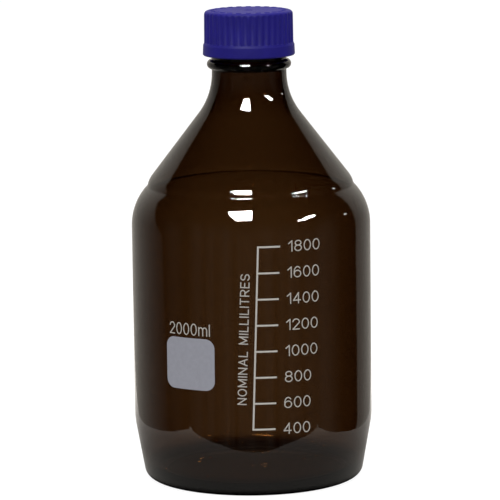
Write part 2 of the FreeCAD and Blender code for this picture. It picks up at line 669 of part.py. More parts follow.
def make_graduation_scale(shell):
    """A leaning upright line with a level tick for each volume."""
    bars = []
    for index, volume in enumerate(SCALE_VOLUMES):
        height, start = tick_expressions(index)
        tick = doc.addObject("Part::Box", f"tick_{volume}")
        tick_start = across(f"{start} - sizes.scale_stroke / 2")
        tick_end = across(f"{start} + sizes.tick_length")
        bind(tick, Length=f"{tick_end} - {tick_start}",
             Width="places.enamel_r", Height="sizes.scale_stroke",
             Placement__Base__x=tick_start, Placement__Base__y="-places.enamel_r",
             Placement__Base__z=f"{height} - sizes.scale_stroke / 2")
        bars.append(tick)
    upright = doc.addObject("Part::Box", "upright")
    upright.Placement = Placement(Vector(), Rotation(Vector(0, 1, 0), 0))
    low_z, low_start = tick_expressions(0)
    bind(upright, Length="sizes.scale_stroke", Width="places.enamel_r",
         Height="places.scale_height / cos(sizes.scale_lean)",
         Placement__Base__x=across(f"{low_start} - sizes.scale_stroke / 2"),
         Placement__Base__y="-places.enamel_r", Placement__Base__z=low_z,
         Placement__Rotation__Angle="sizes.scale_lean")
    comb = doc.addObject("Part::MultiFuse", "scale_comb")
    comb.Shapes = [upright] + bars
    return cut_from_shell("graduation_scale", shell, comb)


def make_writing_field(shell):
    """A white panel with round corners, for a pencilled label."""
    block = doc.addObject("Part::Box", "field_block")
    block.Placement = Placement(Vector(), Rotation(Vector(0, 0, 1), 0))
    turned_x = "sizes.field_width / 2 * cos(sizes.field_turn)"
    turned_y = "sizes.field_width / 2 * sin(sizes.field_turn)"
    bind(block, Length="sizes.field_width", Width="places.enamel_r", Height="sizes.field_height",
         Placement__Rotation__Angle="sizes.field_turn",
         Placement__Base__x=f"places.enamel_r * sin(sizes.field_turn) - {turned_x}",
         Placement__Base__y=f"-places.enamel_r * cos(sizes.field_turn) - {turned_y}",
         Placement__Base__z="places.field_foot_z")
    doc.recompute()
    inward = block.Placement.Rotation.multVec(Vector(0, 1, 0))
    corners = [index for index, edge in enumerate(block.Shape.Edges, start=1)
               if edge.tangentAt(edge.FirstParameter).cross(inward).Length < ANGLE_TOLERANCE]
    panel = doc.addObject("Part::Fillet", "field_panel")
    panel.Base = block
    panel.Edges = [(corner, sizes.field_corner, sizes.field_corner) for corner in corners]
    return cut_from_shell("writing_field", shell, panel)


def flat_polygon(points):
    corners = [Vector(x, 0, z) for x, z in points]
    return Part.Face(Part.makePolygon(corners + corners[:1]))


def flat_bar(start, end, stroke):
    """A straight stroke, half a stroke longer at both ends."""
    along = Vector(end[0] - start[0], 0, end[1] - start[1]).normalize() * (stroke / 2)
    side = Vector(-along.z, 0, along.x)
    first = Vector(start[0], 0, start[1]) - along
    last = Vector(end[0], 0, end[1]) + along
    corners = (first - side, last - side, last + side, first + side)
    return flat_polygon([(corner.x, corner.z) for corner in corners])


def flat_ellipse(middle, half_width, half_height):
    centre = Vector(middle[0], 0, middle[1])
    across_end = centre + Vector(half_width, 0, 0)
    up_end = centre + Vector(0, 0, half_height)
    ends = (across_end, up_end) if half_width > half_height else (up_end, across_end)
    return Part.Face(Part.Wire([Part.Ellipse(*ends, centre).toShape()]))


def flat_ring(middle, half_axes, stroke):
    outer = flat_ellipse(middle, half_axes[0] + stroke / 2, half_axes[1] + stroke / 2)
    return outer.cut(flat_ellipse(middle, half_axes[0] - stroke / 2, half_axes[1] - stroke / 2))


def flat_glyph(character, height, stroke, condense):
    """One character as flat faces with its lower left corner at the origin, and its width."""
    ratio, strokes = GLYPHS[character]
    width = max(ratio * height * condense, stroke)
    spread = (width - stroke, height - stroke)

    def on_cell(point):
        return point[0] * spread[0] + stroke / 2, point[1] * spread[1] + stroke / 2

    faces = []
    for kind, first, second, *keep in strokes:
        if kind == "bar":
            faces.append(flat_bar(on_cell(first), on_cell(second), stroke))
            continue
        ring = flat_ring(on_cell(first), (second[0] * spread[0], second[1] * spread[1]), stroke)
        polygon = keep[0]
        faces.append(ring.common(flat_polygon([on_cell(point) for point in polygon])) if polygon else ring)
    cell = flat_polygon([(0, 0), (width, 0), (width, height), (0, height)])
    joined = faces[0].multiFuse(faces[1:]) if len(faces) > 1 else faces[0]
    return joined.common(cell).removeSplitter(), width


def flat_text(text, height, stroke, spacing, condense=1.0):
    """A line of flat glyphs, about the middle of its length, and that length."""
    glyphs, pen = [], 0.0
    for character in text:
        if character == " ":
            pen += WORD_SPACE
            continue
        glyph, width = flat_glyph(character, height, stroke, condense)
        glyph.translate(Vector(pen, 0, 0))
        glyphs.append(glyph)
        pen += width + spacing
    length = pen - spacing
    for glyph in glyphs:
        glyph.translate(Vector(-length / 2, 0, 0))
    return glyphs, length


def wrap_on_wall(shell, glyphs, middle):
    """Cut flat glyphs, drawn about their middle line, into the enamel at a distance round the wall."""
    turn_angle = math.degrees(middle / places.body_r)
    solids = []
    for glyph in glyphs:
        stamps = [face.extrude(Vector(0, -2 * places.enamel_r, 0)) for face in glyph.Faces]
        stamp = stamps[0].multiFuse(stamps[1:]) if len(stamps) > 1 else stamps[0]
        stamp.rotate(Vector(), Vector(0, 0, 1), turn_angle)
        solids += shell.Shape.common(stamp).Solids
    return solids


def add_print(label, solids):
    layer = doc.addObject("Part::Feature", label)
    layer.Label = label
    layer.Shape = Part.makeCompound(solids)
    layer.Placement = Placement()
    return layer


def make_graduation_numerals(shell):
    """The volume beside each tick, level with it."""
    solids = []
    for index, volume in enumerate(SCALE_VOLUMES):
        height, start = (sizes.evalExpression(expression) for expression in tick_expressions(index))
        text, length = flat_text(volume, sizes.numeral_height, sizes.numeral_stroke, sizes.numeral_spacing)
        for glyph in text:
            glyph.translate(Vector(0, 0, height - sizes.numeral_height / 2))
        solids += wrap_on_wall(shell, text, start + sizes.tick_length + sizes.numeral_gap + length / 2)
    return add_print("graduation_numerals", solids)


def make_capacity_mark(shell):
    """The nominal capacity, above the writing field."""
    text, _ = flat_text(CAPACITY_TEXT, sizes.capacity_height, sizes.capacity_stroke,
                        sizes.capacity_spacing, CAPACITY_CONDENSE)
    for glyph in text:
        glyph.translate(Vector(0, 0, places.field_top_z + sizes.capacity_gap))
    return add_print("capacity_mark", wrap_on_wall(shell, text, places.field_middle))


def make_unit_legend(shell):
    """A line of capitals that reads upwards beside the scale and leans with it."""
    text, _ = flat_text(LEGEND_TEXT, sizes.legend_height, sizes.legend_stroke,
                        sizes.legend_spacing, LEGEND_CONDENSE)
    middle_z = places.wall_mid_z - sizes.legend_drop
    for glyph in text:
        glyph.translate(Vector(0, 0, -sizes.legend_height / 2))
        glyph.rotate(Vector(), Vector(0, 1, 0), sizes.scale_lean - 90)
        glyph.translate(Vector(0, 0, middle_z))
    lean = (middle_z - places.scale_foot_z) * math.tan(math.radians(sizes.scale_lean))
    middle = sizes.scale_start + lean - sizes.legend_gap - (sizes.scale_stroke + sizes.legend_height) / 2
    return add_print("unit_legend", wrap_on_wall(shell, text, middle))


def check_document():
    """Stop if any object failed."""
    failed = [item.Label for item in doc.Objects if {"Invalid", "Error"} & set(item.State)]
    if failed:
        raise RuntimeError(f"failed objects: {failed}")


def write_steps(sub_parts):
    for sub_part in sub_parts:
        if sub_part.Shape.isNull() or not sub_part.Shape.isValid() or not sub_part.Shape.Solids:
            raise RuntimeError(f"bad shape: {sub_part.Label}")
    os.makedirs("parts", exist_ok=True)
    for sub_part in sub_parts:
        sub_part.Shape.exportStep(f"parts/{sub_part.Label}.step")
        box = sub_part.Shape.BoundBox
        print(f"{sub_part.Label}: {len(sub_part.Shape.Solids)} solids, {sub_part.Shape.Volume:.1f} mm3,"
              f" z {box.ZMin:.2f} to {box.ZMax:.2f}")


enamel_shell = make_enamel_shell()
sub_parts = [
    make_glass_bottle(),
    make_pouring_ring(),
    make_disc("liner_facing", "facing_z", "facing_thickness"),
    make_disc("seal_liner", "liner_z", "liner_thickness"),
    make_screw_cap(),
    make_graduation_scale(enamel_shell),
    make_graduation_numerals(enamel_shell),
    make_capacity_mark(enamel_shell),
    make_writing_field(enamel_shell),
    make_unit_legend(enamel_shell),
]
doc.recompute()
check_document()
write_steps(sub_parts)
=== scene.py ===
"""Looks of an amber two-litre reagent bottle with a blue screw cap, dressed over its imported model.

Shapes are drawn in millimetres, in the model's frame, and turned into metres as meshes are made.
"""
import math

import bpy
from mathutils import Matrix, Vector


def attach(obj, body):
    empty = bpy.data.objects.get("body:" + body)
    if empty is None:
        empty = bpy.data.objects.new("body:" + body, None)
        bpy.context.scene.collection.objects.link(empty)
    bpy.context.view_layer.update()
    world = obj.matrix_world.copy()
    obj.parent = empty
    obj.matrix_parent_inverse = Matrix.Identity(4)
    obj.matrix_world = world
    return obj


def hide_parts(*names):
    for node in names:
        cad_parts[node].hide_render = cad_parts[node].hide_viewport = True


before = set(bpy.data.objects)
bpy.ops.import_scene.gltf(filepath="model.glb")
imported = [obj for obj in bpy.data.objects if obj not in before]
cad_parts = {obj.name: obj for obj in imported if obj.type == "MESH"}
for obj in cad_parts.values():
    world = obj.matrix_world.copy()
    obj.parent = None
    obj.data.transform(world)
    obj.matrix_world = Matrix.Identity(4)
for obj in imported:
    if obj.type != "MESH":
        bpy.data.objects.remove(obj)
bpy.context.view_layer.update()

MM = 0.001
FULL_TURN = 2 * math.pi
ON_AXIS = 1e-6
ARC_STEP = math.radians(4)

# Glass body, outside, from the standing ring up
BODY_R = 68.0
WALL = 2.6
FOOT_WIDTH = 7.0
PUSH_UP = 3.5
HEEL_RADIUS = 6.2
TAPER_HEIGHT = 38.4
TAPER_ANGLE = math.radians(10.1)
BLEND_RADIUS = 43.4
CYLINDER_HEIGHT = 107.5
SHOULDER_RADIUS = 31.8
SHOULDER_ANGLE = math.radians(44.96)
STEP_RADIUS = 13.8
STEP_LEAN = math.radians(11)
STEP_FILLET = 1.8
CONE_ANGLE = math.radians(37.5)
NECK_SWEEP = 38.0
NECK_R = 21.2
NECK_WALL = 3.1
NECK_LENGTH = 2.2
BEAD_RADIUS = 2.7
BEAD_FILLET = 0.6

TAPER_TOP_R = BODY_R - BLEND_RADIUS * (1 - math.cos(TAPER_ANGLE))
TAPER_TOP_Z = TAPER_HEIGHT - BLEND_RADIUS * math.sin(TAPER_ANGLE)
HEEL_TOP_Z = HEEL_RADIUS * (1 - math.sin(TAPER_ANGLE))
HEEL_TOP_R = TAPER_TOP_R - (TAPER_TOP_Z - HEEL_TOP_Z) * math.tan(TAPER_ANGLE)
FOOT_R = HEEL_TOP_R - HEEL_RADIUS * math.cos(TAPER_ANGLE)
FOOT_INNER_R = FOOT_R - FOOT_WIDTH
PUSH_UP_RADIUS = (FOOT_INNER_R**2 + PUSH_UP**2) / (2 * PUSH_UP)
WALL_TOP_Z = TAPER_HEIGHT + CYLINDER_HEIGHT
STEP_R = BODY_R - SHOULDER_RADIUS * (1 - math.cos(SHOULDER_ANGLE))
STEP_Z = WALL_TOP_Z + SHOULDER_RADIUS * math.sin(SHOULDER_ANGLE)
CONE_FOOT_R = STEP_R - STEP_RADIUS * (math.cos(STEP_LEAN) - math.cos(CONE_ANGLE))
CONE_FOOT_Z = STEP_Z + STEP_RADIUS * (math.sin(CONE_ANGLE) - math.sin(STEP_LEAN))
CONE_TOP_R = NECK_R + NECK_SWEEP * (1 - math.cos(CONE_ANGLE))
CONE_TOP_Z = CONE_FOOT_Z + (CONE_FOOT_R - CONE_TOP_R) / math.tan(CONE_ANGLE)
NECK_FOOT_Z = CONE_TOP_Z + NECK_SWEEP * math.sin(CONE_ANGLE)
BEAD_FOOT_Z = NECK_FOOT_Z + NECK_LENGTH
BEAD_TOP_Z = BEAD_FOOT_Z + 2 * BEAD_RADIUS

# Threaded finish and lip
FINISH_HEIGHT = 21.0
LIP_HEIGHT = 5.0
LIP_INSET = 1.3
LIP_WALL = 4.9
SNAP_DEPTH = 0.5
SNAP_HEIGHT = 1.4
RIM_ROUND = 0.8
FOOT_SOFT = 2.0
LEDGE_SOFT = 0.25
SNAP_SOFT = 0.4
MOUTH_SOFT = 4.0
PITCH = 4.0
THREAD_RADIUS = 1.25
THREAD_SPREAD = 1.5
THREAD_RUNOUT = 0.35
THREAD_FADE = 0.6

RIM_Z = BEAD_TOP_Z + FINISH_HEIGHT
LEDGE_Z = RIM_Z - LIP_HEIGHT
LIP_R = NECK_R - LIP_INSET
SNAP_R = LIP_R - SNAP_DEPTH
SNAP_TOP_Z = LEDGE_Z + SNAP_HEIGHT
MOUTH_R = LIP_R - LIP_WALL

# Glass body, inside, from the neck down
BASE_THICKNESS = 4.6
FLOOR_ANGLE = math.radians(7)
INNER_HEEL_RADIUS = 9.0
INNER_R = BODY_R - WALL
INNER_CONE_FOOT_R = CONE_FOOT_R - WALL * math.cos(CONE_ANGLE)
INNER_CONE_FOOT_Z = CONE_FOOT_Z - WALL * math.sin(CONE_ANGLE)
INNER_NECK_R = NECK_R - NECK_WALL
INNER_CONE_TOP_R = INNER_NECK_R + NECK_SWEEP * (1 - math.cos(CONE_ANGLE))
INNER_CONE_TOP_Z = INNER_CONE_FOOT_Z + (INNER_CONE_FOOT_R - INNER_CONE_TOP_R) / math.tan(CONE_ANGLE)
INNER_NECK_Z = INNER_CONE_TOP_Z + NECK_SWEEP * math.sin(CONE_ANGLE)
INNER_TAPER_TOP_R = TAPER_TOP_R - WALL * math.cos(TAPER_ANGLE)
INNER_TAPER_TOP_Z = TAPER_TOP_Z + WALL * math.sin(TAPER_ANGLE)
HEEL_MID_Z = BASE_THICKNESS + INNER_HEEL_RADIUS
HEEL_MID_R = (INNER_TAPER_TOP_R - (INNER_TAPER_TOP_Z - HEEL_MID_Z) * math.tan(TAPER_ANGLE)
              - INNER_HEEL_RADIUS / math.cos(TAPER_ANGLE))
FLOOR_EDGE_R = HEEL_MID_R - INNER_HEEL_RADIUS * math.sin(FLOOR_ANGLE)
FLOOR_EDGE_Z = HEEL_MID_Z - INNER_HEEL_RADIUS * math.cos(FLOOR_ANGLE)
FLOOR_RADIUS = FLOOR_EDGE_R / math.sin(FLOOR_ANGLE)
FLOOR_TOP_Z = FLOOR_EDGE_Z + FLOOR_RADIUS * (1 - math.cos(FLOOR_ANGLE))

# Inside of the step: the shoulder's arc and the step's arc, each an even wall inside, meet here
INNER_STEP_FILLET = 2.8
INNER_SHOULDER_RADIUS = SHOULDER_RADIUS - WALL
INNER_STEP_RADIUS = STEP_RADIUS - WALL
SHOULDER_AXIS = Vector((BODY_R - SHOULDER_RADIUS, WALL_TOP_Z))
CONE_OUTWARD = Vector((math.cos(CONE_ANGLE), math.sin(CONE_ANGLE)))
STEP_AXIS = Vector((CONE_FOOT_R, CONE_FOOT_Z)) - STEP_RADIUS * CONE_OUTWARD
AXIS_GAP = STEP_AXIS - SHOULDER_AXIS
ALONG_GAP = AXIS_GAP / AXIS_GAP.length
ASIDE_GAP = Vector((ALONG_GAP.y, -ALONG_GAP.x))
RADII_DIFFERENCE = INNER_SHOULDER_RADIUS**2 - INNER_STEP_RADIUS**2
STEP_ALONG = (RADII_DIFFERENCE + AXIS_GAP.length_squared) / (2 * AXIS_GAP.length)
STEP_ASIDE = math.sqrt(INNER_SHOULDER_RADIUS**2 - STEP_ALONG**2)
INNER_STEP = SHOULDER_AXIS + STEP_ALONG * ALONG_GAP + STEP_ASIDE * ASIDE_GAP

# Pouring ring, facing and liner, stacked on the rim
RING_FLANGE = 1.3
RING_WALL = 1.0
RING_FIT = 0.1
RING_EDGE = 0.25
RING_SEAT_SOFT = 0.1
CATCH_SOFT = 0.15
SLEEVE_DEPTH = 8.0
DRIP_HEIGHT = 0.35
FACING_THICKNESS = 0.2
FACING_EDGE = 0.08
LINER_THICKNESS = 2.0
LINER_EDGE = 0.3
FACING_Z = RIM_Z + RING_FLANGE
LINER_Z = FACING_Z + FACING_THICKNESS
ROOF_Z = LINER_Z + LINER_THICKNESS

# Screw cap, from the skirt up
CREST_CLEARANCE = 0.6
CAP_WALL = 1.6
CAP_ROOF = 3.0
CAP_CORNER = 2.2
CAP_DRAFT = math.radians(0.6)
FLUTE_COUNT = 42
FLUTE_DEPTH = 0.5
FLUTE_WIDTH = 2.7
FLUTE_SOFT = 0.3
FLUTE_FOOT = 0.5
BAND_HEIGHT = 6.0
BAND_SLOPE = 1.2
BAND_STEP = 0.55
BAND_DRAFT = math.radians(2.3)
BAND_ROUND = 0.5
SKIRT_GAP = 2.2
SKIRT_CHAMFER = 0.6
SKIRT_ROUND = 0.35
SKIRT_EDGE = 0.2
ROOF_SOFT = 0.3
LINER_FIT = 0.2
KEEPER_CATCH = 0.4
KEEPER_GAP = 0.1
KEEPER_HEIGHT = 0.9
KEEPER_EDGE = 0.15
CAP_BORE_R = NECK_R + THREAD_RADIUS + CREST_CLEARANCE
SKIRT_Z = BEAD_TOP_Z + SKIRT_GAP
BAND_TOP_Z = SKIRT_Z + BAND_HEIGHT
RIB_FOOT_Z = BAND_TOP_Z + BAND_SLOPE
CAP_TOP_Z = ROOF_Z + CAP_ROOF
CORNER_Z = CAP_TOP_Z - CAP_CORNER
RIB_TOP_R = CAP_BORE_R + CAP_WALL + FLUTE_DEPTH
RIB_FOOT_R = RIB_TOP_R + (CORNER_Z - RIB_FOOT_Z) * math.tan(CAP_DRAFT)
BAND_TOP_R = RIB_FOOT_R + BAND_STEP
BAND_FOOT_R = BAND_TOP_R + BAND_HEIGHT * math.tan(BAND_DRAFT)
TOP_FLAT_R = RIB_TOP_R - CAP_CORNER
FLUTE_RADIUS = (FLUTE_WIDTH**2 / 4 + FLUTE_DEPTH**2) / (2 * FLUTE_DEPTH)
FLUTE_MID_R = RIB_TOP_R - FLUTE_DEPTH + FLUTE_RADIUS
LINER_R = CAP_BORE_R - LINER_FIT
KEEPER_R = LINER_R - KEEPER_CATCH
KEEPER_TOP_Z = FACING_Z - KEEPER_GAP
KEEPER_FOOT_Z = KEEPER_TOP_Z - KEEPER_HEIGHT

# Raised bars and the gate mark on top of the cap
MARK_COUNT = 24
MARK_LENGTH = 3.0
MARK_WIDTH = 1.9
MARK_HEIGHT = 0.35
MARK_INSET = 1.4
MARK_SOFT = 0.15
MARK_R = TOP_FLAT_R - MARK_INSET - MARK_WIDTH / 2
GATE_R = 2.2
GATE_DEPTH = 0.3
GATE_SOFT = 0.3

# Threads: the cap's ridge runs half a pitch below the neck's
CAP_RIDGE_RADIUS = 0.95
CAP_RIDGE_CLEARANCE = 0.55
CAP_RIDGE_START = 0.8
CAP_RIDGE_R = NECK_R + CAP_RIDGE_CLEARANCE + CAP_RIDGE_RADIUS
CAP_RIDGE_CREST = CAP_BORE_R - CAP_RIDGE_R + CAP_RIDGE_RADIUS
CAP_RIDGE_SPREAD = 1.15
CAP_RIDGE_Z = SKIRT_Z + CAP_RIDGE_START + CAP_RIDGE_RADIUS
THREAD_Z = CAP_RIDGE_Z + PITCH / 2
THREAD_CLIMB = LEDGE_Z - THREAD_RUNOUT - THREAD_RADIUS - THREAD_Z
CAP_RIDGE_CLIMB = THREAD_CLIMB - PITCH / 2

# Columns of each turned mesh, the cap's a whole number for each rib and each bar, and rows of its detail
GLASS_COLUMNS = 288
CAP_COLUMNS = 504
RING_COLUMNS = 192
DISC_COLUMNS = 128
THREAD_ROWS = 64
CAP_RIDGE_ROWS = 32
FLUTE_FOOT_ROWS = 4
MARK_ROWS = 24

# Camera of the photograph, in metres
CAMERA_PLACE = Vector((0.0, -2.0, 0.452256))
CAMERA_AIM = Vector((-0.000776, 0.0, 0.130345))
CAMERA_ROLL = math.radians(-0.72)
CAMERA_LENS = 255.4
SENSOR_WIDTH = 36.0
VIEW_END = 100.0

# Brightness of the room and floor as seen directly and through glass, and of the room as fill light
ROOM_LIGHT = 0.97
FLOOR_LIGHT = 0.93
ROOM_FILL = 0.28
FLOOR_REACH = 12.0

# Mirrored room: lean of the pale area's left edge, and spots of its upright streaks along each axis
LEFT_EDGE_SLOPE = 0.75
STREAK_SCALE = (6.0, 0.0, 0.4)

# Sheet under the bottle, as glossy surfaces mirror it: corners and height in metres, and colour
SHEET_FRONT = [(-0.190, -0.136), (-0.065, -0.110), (0.065, -0.110), (0.190, -0.131)]
SHEET_SIDES = [(0.140, -0.06), (0.132, 0.6), (-0.155, 0.6), (-0.162, -0.05)]
SHEET_Z = 0.0002
SHEET_COLOUR = (1, 0.95, 0.88, 1)

# Ceiling panels: each one's least and greatest X and Y in metres, and its radiance
PANEL_Z = 2.19
GLASS_PANELS = {
    "panel_left": ((-0.90, -3.12), (-0.45, -1.54), 90.0),
    "panel_middle": ((-0.41, -3.12), (0.05, -1.54), 90.0),
    "panel_right": ((3.15, -2.85), (3.65, -1.15), 80.0),
    "panel_far": ((7.45, 2.30), (7.95, 2.90), 20.0),
}
CAP_PANEL = ((-0.90, -3.33), (0.05, -1.40), 6.0)
SOFT_BOX = ((-2.2, -3.2), (1.8, 0.8), 1.1)
SOFT_BOX_Z = 2.6


class Outline:
    """A half section beside the Z axis, drawn through points by lines and arcs, with softened corners."""

    def __init__(self, r, z):
        self.points = [Vector((r, z))]
        self.softened = {}

    def soften(self, radius):
        if radius:
            self.softened[len(self.points) - 1] = radius
        return self

    def line(self, r, z, pieces=1, soft=0.0):
        start, end = self.points[-1], Vector((r, z))
        self.points += [start.lerp(end, step / pieces) for step in range(1, pieces + 1)]
        return self.soften(soft)

    def arc(self, r, z, radius, left=True, soft=0.0):
        """An arc of at most half a circle, which turns left or right on the way to its end."""
        start, end = self.points[-1], Vector((r, z))
        chord = end - start
        rise = math.sqrt(max(radius**2 - chord.length_squared / 4, 0.0))
        side = Vector((-chord.y, chord.x)).normalized() * (rise if left else -rise)
        middle = (start + end) / 2 + side
        first = math.atan2(start.y - middle.y, start.x - middle.x)
        sweep = 2 * math.asin(min(chord.length / (2 * radius), 1.0)) * (1 if left else -1)
        steps = max(2, math.ceil(abs(sweep) / ARC_STEP))
        for step in range(1, steps):
            angle = first + sweep * step / steps
            self.points.append(middle + radius * Vector((math.cos(angle), math.sin(angle))))
        self.points.append(end)
        return self.soften(soft)

    def drawn(self, steps=4):
        """The points, with a short curve in place of each softened corner."""
        points = list(self.points)
        for index in sorted(self.softened, reverse=True):
            corner, before, after = points[index], points[:index], points[index + 1:]
            turn = (corner - before[-1]).angle(after[0] - corner)
            reach = self.softened[index] * math.tan(turn / 2)
            while len(before) > 1 and (corner - before[-1]).length <= reach:
                before.pop()
            while len(after) > 1 and (after[0] - corner).length <= reach:
                after.pop(0)
            first = corner + (before[-1] - corner).normalized() * reach
            last = corner + (after[0] - corner).normalized() * reach
            shares = [step / steps for step in range(steps + 1)]
            curve = [first.lerp(corner, share).lerp(corner.lerp(last, share), share) for share in shares]
            points = before + curve + after
        return points


def lathe(name, outline, columns, shape=None):
    """Turn an outline about the Z axis into a mesh; shape may move each point of the surface."""
    points = outline.drawn()
    vertices, rows = [], []
    for r, z in points:
        if r < ON_AXIS:
            rows.append([len(vertices)] * columns)
            vertices.append((0.0, 0.0, z * MM))
            continue
        rows.append(range(len(vertices), len(vertices) + columns))
        for column in range(columns):
            angle = FULL_TURN * column / columns
            ring_r, ring_z = shape(r, z, angle) if shape else (r, z)
            vertices.append((ring_r * math.cos(angle) * MM, ring_r * math.sin(angle) * MM, ring_z * MM))
    if points[0].x > ON_AXIS:
        rows.append(rows[0])
    faces = []
    for lower, upper in zip(rows, rows[1:]):
        for column in range(columns):
            following = (column + 1) % columns
            corners = (lower[column], lower[following], upper[following], upper[column])
            faces.append(tuple(dict.fromkeys(corners)))
    mesh = bpy.data.meshes.new(name)
    mesh.from_pydata(vertices, [], faces)
    mesh.validate()
    mesh.shade_smooth()
    piece = bpy.data.objects.new(name, mesh)
    bpy.context.scene.collection.objects.link(piece)
    return piece


def smooth_step(share):
    share = min(max(share, 0.0), 1.0)
    return share * share * (3 - 2 * share)


def soft_min(first, second, soft):
    """The smaller of two values, with the change from one to the other rounded off."""
    overlap = max(soft - abs(first - second), 0.0) / soft
    return min(first, second) - overlap * overlap * soft / 4


def thread_height(z, angle, start_z, climb, crest, spread):
    """How far a right-hand thread stands off its cylinder at a height and an angle."""
    height = 0.0
    for lap in range(int(climb / PITCH) + 1):
        risen = PITCH * (lap + angle / FULL_TURN)
        offset = abs(z - start_z - risen) / spread
        if risen < climb and offset < 1:
            fade = smooth_step(min(risen, climb - risen) / THREAD_FADE)
            height = max(height, crest * fade * math.cos(offset * math.pi / 2) ** 2)
    return height


# Pieces

def make_glass():
    """The bottle in one skin: outside from the push-up to the rim, then inside down to the floor."""
    outline = Outline(0, PUSH_UP)
    outline.arc(FOOT_INNER_R, 0, PUSH_UP_RADIUS, left=False, soft=FOOT_SOFT)
    outline.line(FOOT_R, 0)
    outline.arc(HEEL_TOP_R, HEEL_TOP_Z, HEEL_RADIUS)
    outline.line(TAPER_TOP_R, TAPER_TOP_Z)
    outline.arc(BODY_R, TAPER_HEIGHT, BLEND_RADIUS)
    outline.line(BODY_R, WALL_TOP_Z)
    outline.arc(STEP_R, STEP_Z, SHOULDER_RADIUS, soft=STEP_FILLET)
    outline.arc(CONE_FOOT_R, CONE_FOOT_Z, STEP_RADIUS)
    outline.line(CONE_TOP_R, CONE_TOP_Z)
    outline.arc(NECK_R, NECK_FOOT_Z, NECK_SWEEP, left=False)
    outline.line(NECK_R, BEAD_FOOT_Z, soft=BEAD_FILLET)
    outline.arc(NECK_R + BEAD_RADIUS, BEAD_FOOT_Z + BEAD_RADIUS, BEAD_RADIUS)
    outline.arc(NECK_R, BEAD_TOP_Z, BEAD_RADIUS, soft=BEAD_FILLET)
    outline.line(NECK_R, LEDGE_Z, pieces=THREAD_ROWS, soft=LEDGE_SOFT)
    outline.line(SNAP_R, LEDGE_Z, soft=LEDGE_SOFT)
    outline.line(SNAP_R, SNAP_TOP_Z, soft=LEDGE_SOFT)
    outline.line(LIP_R, SNAP_TOP_Z + SNAP_DEPTH, soft=SNAP_SOFT)
    outline.line(LIP_R, RIM_Z - RIM_ROUND)
    outline.arc(LIP_R - RIM_ROUND, RIM_Z, RIM_ROUND)
    outline.line(MOUTH_R + RIM_ROUND, RIM_Z)
    outline.arc(MOUTH_R, RIM_Z - RIM_ROUND, RIM_ROUND)
    outline.line(MOUTH_R, BEAD_TOP_Z, soft=MOUTH_SOFT)
    outline.line(INNER_NECK_R, BEAD_TOP_Z - BEAD_RADIUS, soft=MOUTH_SOFT)
    outline.line(INNER_NECK_R, INNER_NECK_Z)
    outline.arc(INNER_CONE_TOP_R, INNER_CONE_TOP_Z, NECK_SWEEP)
    outline.line(INNER_CONE_FOOT_R, INNER_CONE_FOOT_Z)
    outline.arc(INNER_STEP.x, INNER_STEP.y, INNER_STEP_RADIUS, left=False, soft=INNER_STEP_FILLET)
    outline.arc(INNER_R, WALL_TOP_Z, INNER_SHOULDER_RADIUS, left=False)
    outline.line(INNER_R, TAPER_HEIGHT)
    outline.arc(INNER_TAPER_TOP_R, INNER_TAPER_TOP_Z, BLEND_RADIUS - WALL, left=False)
    outline.line(HEEL_MID_R + INNER_HEEL_RADIUS * math.cos(TAPER_ANGLE),
                 HEEL_MID_Z - INNER_HEEL_RADIUS * math.sin(TAPER_ANGLE))
    outline.arc(FLOOR_EDGE_R, FLOOR_EDGE_Z, INNER_HEEL_RADIUS, left=False)
    outline.arc(0, FLOOR_TOP_Z, FLOOR_RADIUS)

    def shape(r, z, angle):
        if r > NECK_R - ON_AXIS and BEAD_TOP_Z < z < LEDGE_Z:
            r += thread_height(z, angle, THREAD_Z, THREAD_CLIMB, THREAD_RADIUS, THREAD_SPREAD)
        return r, z

    return lathe("glass_body", outline, GLASS_COLUMNS, shape)


def flute_face(angle):
    """Distance from the axis to the face of the flute at an angle."""
    spacing = FULL_TURN / FLUTE_COUNT
    aside = (angle + spacing / 2) % spacing - spacing / 2
    across = FLUTE_MID_R * math.sin(aside)
    if abs(across) >= FLUTE_RADIUS:
        return math.inf
    return FLUTE_MID_R * math.cos(aside) - math.sqrt(FLUTE_RADIUS**2 - across**2)


def mark_height(r, angle):
    """Height of the raised bars on top of the cap, with soft edges."""
    spacing = FULL_TURN / MARK_COUNT
    aside = ((angle + spacing / 2) % spacing - spacing / 2) * r
    along = (MARK_LENGTH / 2 - abs(aside)) / MARK_SOFT
    over = (MARK_WIDTH / 2 - abs(r - MARK_R)) / MARK_SOFT
    return MARK_HEIGHT * smooth_step(along) * smooth_step(over)


